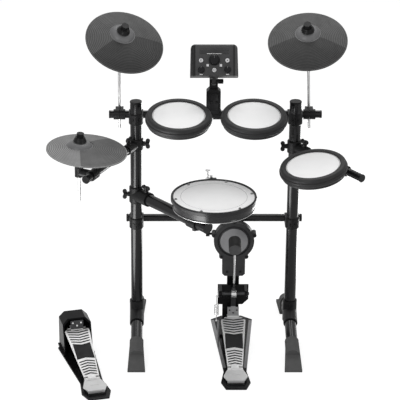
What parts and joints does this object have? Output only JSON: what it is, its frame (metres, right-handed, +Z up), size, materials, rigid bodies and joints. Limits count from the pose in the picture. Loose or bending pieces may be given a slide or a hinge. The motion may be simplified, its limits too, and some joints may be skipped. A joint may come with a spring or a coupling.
{
  "type": "electronic drum kit",
  "caption": "Electronic drum kit on a black tube rack: round pads, cymbal pads on rods, a snare on an arm, a tilting sound module, a kick tower with beater pedal and a hi-hat pedal.",
  "frame": {"origin": "middle of the floor area under the kit: bottom centre of its bounding box", "axes": "+Z up, +X to the player's right, the player sits on the -Y side"},
  "size_m": [0.9966, 0.7018, 1.1108],
  "materials": {
    "black_tube": "semi-gloss black paint",
    "black_plastic": "fine matte texture",
    "foot_rubber": "matte rubber",
    "rim_rubber": "matte rubber",
    "cymbal_rubber": "fine concentric grooves",
    "bright_steel": "polished",
    "white_pad": "smooth white",
    "kick_face": "smooth grey rubber",
    "white_mesh": "fine mesh",
    "shell_gloss": "gloss",
    "hoop_black": "satin",
    "module_grey": "fine texture",
    "knob_black": "satin",
    "button_white": "satin",
    "silver_board": "satin cast",
    "pedal_black": "satin black paint",
    "beater_plastic": "felt-faced plastic"
  },
  "bodies": {
    "rack": {"rack_posts": "black_tube", "crossbars": "black_tube", "tube_caps": "black_plastic", "crossbar_clamps": "black_plastic", "clamp_bolts": "bright_steel", "leg_hubs": "black_plastic", "leg_tubes": "black_tube", "rubber_feet": "foot_rubber", "cymbal_rod_clamps": "black_plastic", "module_upright": "black_plastic", "pedal_bases": "pedal_black", "heel_plates": "silver_board", "kick_tower": "pedal_black", "kick_housing": "black_plastic", "kick_pad": "kick_face", "pedal_upright": "pedal_black", "pedal_spring": "bright_steel", "hat_housing": "black_plastic"},
    "left_crash_stem": {"left_crash_rod": "bright_steel", "left_crash_topper": "black_plastic"},
    "left_crash": {"left_crash_cymbal": "cymbal_rubber"},
    "right_crash_stem": {"right_crash_rod": "bright_steel", "right_crash_topper": "black_plastic"},
    "right_crash": {"right_crash_cymbal": "cymbal_rubber"},
    "hat_arm_swing": {"hat_arm_clamps": "black_plastic", "hat_arm": "black_tube"},
    "hat_bolt": {"hat_wing_bolt": "black_plastic"},
    "hat_stem": {"hat_rod": "bright_steel", "hat_topper": "black_plastic"},
    "hat_plate": {"hat_cymbal": "cymbal_rubber"},
    "tom_arm_swing": {"tom_arm_clamp": "black_plastic", "tom_arm": "black_tube"},
    "tom_bolt": {"tom_wing_bolt": "black_plastic"},
    "floor_tom": {"floor_tom_body": "rim_rubber", "floor_tom_head": "white_pad"},
    "snare_arm_swing": {"snare_arm_clamps": "black_plastic", "snare_arm": "black_tube"},
    "snare_bolt": {"snare_wing_bolt": "black_plastic"},
    "snare": {"snare_rod": "bright_steel", "snare_shell": "shell_gloss", "snare_hoop": "hoop_black", "snare_mesh": "white_mesh"},
    "left_tom": {"left_tom_body": "rim_rubber", "left_tom_head": "white_pad"},
    "right_tom": {"right_tom_body": "rim_rubber", "right_tom_head": "white_pad"},
    "module": {"module_case": "module_grey"},
    "thumb_screw": {"module_thumb_screw": "knob_black"},
    "dial": {"module_dial": "knob_black"},
    "left_knob": {"left_knob": "knob_black"},
    "right_knob": {"right_knob": "knob_black"},
    "left_button": {"left_button": "button_white"},
    "right_button": {"right_button": "button_white"},
    "centre_button": {"centre_button": "button_white"},
    "left_square_button": {"left_square_button": "button_white"},
    "right_square_button": {"right_square_button": "button_white"},
    "kick_board": {"kick_footboard": "silver_board"},
    "beater": {"kick_cam": "bright_steel", "beater_head": "beater_plastic"},
    "hat_board": {"hat_footboard": "silver_board"}
  },
  "joints": [
    {"name": "left_crash_height", "type": "slide", "parent": "rack", "child": "left_crash_stem", "axis": [0, 0, 1], "range_m": [-0.06, 0.03]},
    {"name": "left_crash_rock", "type": "hinge", "parent": "left_crash_stem", "child": "left_crash", "pos_m": [-0.26479, 0.13269, 1.05915], "axis": [0.9011, 0.4337, 0], "range_deg": [-6, 6], "stiffness_Nm_per_rad": 6},
    {"name": "right_crash_height", "type": "slide", "parent": "rack", "child": "right_crash_stem", "axis": [-0.0384, 0, 0.9993], "range_m": [-0.06, 0.03]},
    {"name": "right_crash_rock", "type": "hinge", "parent": "right_crash_stem", "child": "right_crash", "pos_m": [0.32842, 0.13408, 1.06092], "axis": [0.9932, -0.1097, 0.0382], "range_deg": [-6, 6], "stiffness_Nm_per_rad": 6},
    {"name": "hat_arm_turn", "type": "hinge", "parent": "rack", "child": "hat_arm_swing", "pos_m": [-0.22102, 0.09394, 0.703], "axis": [0, 0, 1], "range_deg": [-12, 12]},
    {"name": "hat_bolt_turn", "type": "hinge", "parent": "hat_arm_swing", "child": "hat_bolt", "pos_m": [-0.22102, 0.09394, 0.703], "axis": [1, 0, 0], "continuous": true},
    {"name": "hat_height", "type": "slide", "parent": "hat_arm_swing", "child": "hat_stem", "axis": [0, 0, 1], "range_m": [-0.04, 0.025]},
    {"name": "hat_rock", "type": "hinge", "parent": "hat_stem", "child": "hat_plate", "pos_m": [-0.39467, -0.14025, 0.78489], "axis": [0.342, 0.9397, 0], "range_deg": [-6, 6], "stiffness_Nm_per_rad": 6},
    {"name": "tom_arm_turn", "type": "hinge", "parent": "rack", "child": "tom_arm_swing", "pos_m": [0.29298, 0.09394, 0.694], "axis": [0, 0, 1], "range_deg": [-8, 8]},
    {"name": "tom_bolt_turn", "type": "hinge", "parent": "tom_arm_swing", "child": "tom_bolt", "pos_m": [0.29298, 0.09394, 0.694], "axis": [-1, 0, 0], "continuous": true},
    {"name": "floor_tom_tilt", "type": "hinge", "parent": "tom_arm_swing", "child": "floor_tom", "pos_m": [0.43473, -0.09973, 0.694], "axis": [0.5906, -0.807, 0], "range_deg": [-8, 4]},
    {"name": "snare_arm_turn", "type": "hinge", "parent": "rack", "child": "snare_arm_swing", "pos_m": [-0.22102, 0.09394, 0.525], "axis": [0, 0, 1], "range_deg": [-6, 6]},
    {"name": "snare_bolt_turn", "type": "hinge", "parent": "snare_arm_swing", "child": "snare_bolt", "pos_m": [-0.22102, 0.09394, 0.525], "axis": [-1, 0, 0], "continuous": true},
    {"name": "snare_tilt", "type": "hinge", "parent": "snare_arm_swing", "child": "snare", "pos_m": [0.01999, -0.04915, 0.575], "axis": [-0.5636, -0.826, 0], "range_deg": [-4, 4]},
    {"name": "left_tom_tilt", "type": "hinge", "parent": "rack", "child": "left_tom", "pos_m": [-0.08402, 0.12994, 0.791], "axis": [1, 0, 0], "range_deg": [-8, 4]},
    {"name": "right_tom_tilt", "type": "hinge", "parent": "rack", "child": "right_tom", "pos_m": [0.15598, 0.12994, 0.791], "axis": [1, 0, 0], "range_deg": [-8, 4]},
    {"name": "module_tilt", "type": "hinge", "parent": "rack", "child": "module", "pos_m": [0.02948, 0.12994, 0.905], "axis": [1, 0, 0], "range_deg": [-12, 12]},
    {"name": "thumb_screw_turn", "type": "hinge", "parent": "rack", "child": "thumb_screw", "pos_m": [0.02948, 0.12994, 0.905], "axis": [1, 0, 0], "continuous": true},
    {"name": "dial_turn", "type": "hinge", "parent": "module", "child": "dial", "pos_m": [0.02948, 0.09594, 0.98943], "axis": [0, -0.866, 0.5], "continuous": true},
    {"name": "left_knob_turn", "type": "hinge", "parent": "module", "child": "left_knob", "pos_m": [-0.01252, 0.08044, 0.96259], "axis": [0, -0.866, 0.5], "range_deg": [-135, 135]},
    {"name": "right_knob_turn", "type": "hinge", "parent": "module", "child": "right_knob", "pos_m": [0.07148, 0.08044, 0.96259], "axis": [0, -0.866, 0.5], "range_deg": [-135, 135]},
    {"name": "left_button_press", "type": "slide", "parent": "module", "child": "left_button", "axis": [0, -0.866, 0.5], "range_m": [-0.0008, 0], "stiffness_N_per_m": 400, "springref_m": 0.001},
    {"name": "right_button_press", "type": "slide", "parent": "module", "child": "right_button", "axis": [0, -0.866, 0.5], "range_m": [-0.0008, 0], "stiffness_N_per_m": 400, "springref_m": 0.001},
    {"name": "centre_button_press", "type": "slide", "parent": "module", "child": "centre_button", "axis": [0, -0.866, 0.5], "range_m": [-0.0008, 0], "stiffness_N_per_m": 400, "springref_m": 0.001},
    {"name": "left_square_button_press", "type": "slide", "parent": "module", "child": "left_square_button", "axis": [0, -0.866, 0.5], "range_m": [-0.0008, 0], "stiffness_N_per_m": 400, "springref_m": 0.001},
    {"name": "right_square_button_press", "type": "slide", "parent": "module", "child": "right_square_button", "axis": [0, -0.866, 0.5], "range_m": [-0.0008, 0], "stiffness_N_per_m": 400, "springref_m": 0.001},
    {"name": "kick_board_press", "type": "hinge", "parent": "rack", "child": "kick_board", "pos_m": [0.10198, -0.17406, 0.017], "axis": [1, 0, 0], "range_deg": [-1.7, 0], "stiffness_Nm_per_rad": 10, "springref_deg": 5.73},
    {"name": "beater_swing", "type": "hinge", "parent": "rack", "child": "beater", "pos_m": [0.10198, 0.03994, 0.186], "axis": [1, 0, 0], "range_deg": [-13.03, 0], "deforming": ["pedal_spring"]},
    {"name": "hat_board_press", "type": "hinge", "parent": "rack", "child": "hat_board", "pos_m": [-0.36302, -0.24006, 0.017], "axis": [0.9686, 0.2487, 0], "range_deg": [-5, 0], "stiffness_Nm_per_rad": 10, "springref_deg": 5.73}
  ],
  "couplings": [
    {"joint": "beater_swing", "follows": "kick_board_press", "ratio": 7.6667}
  ]
}
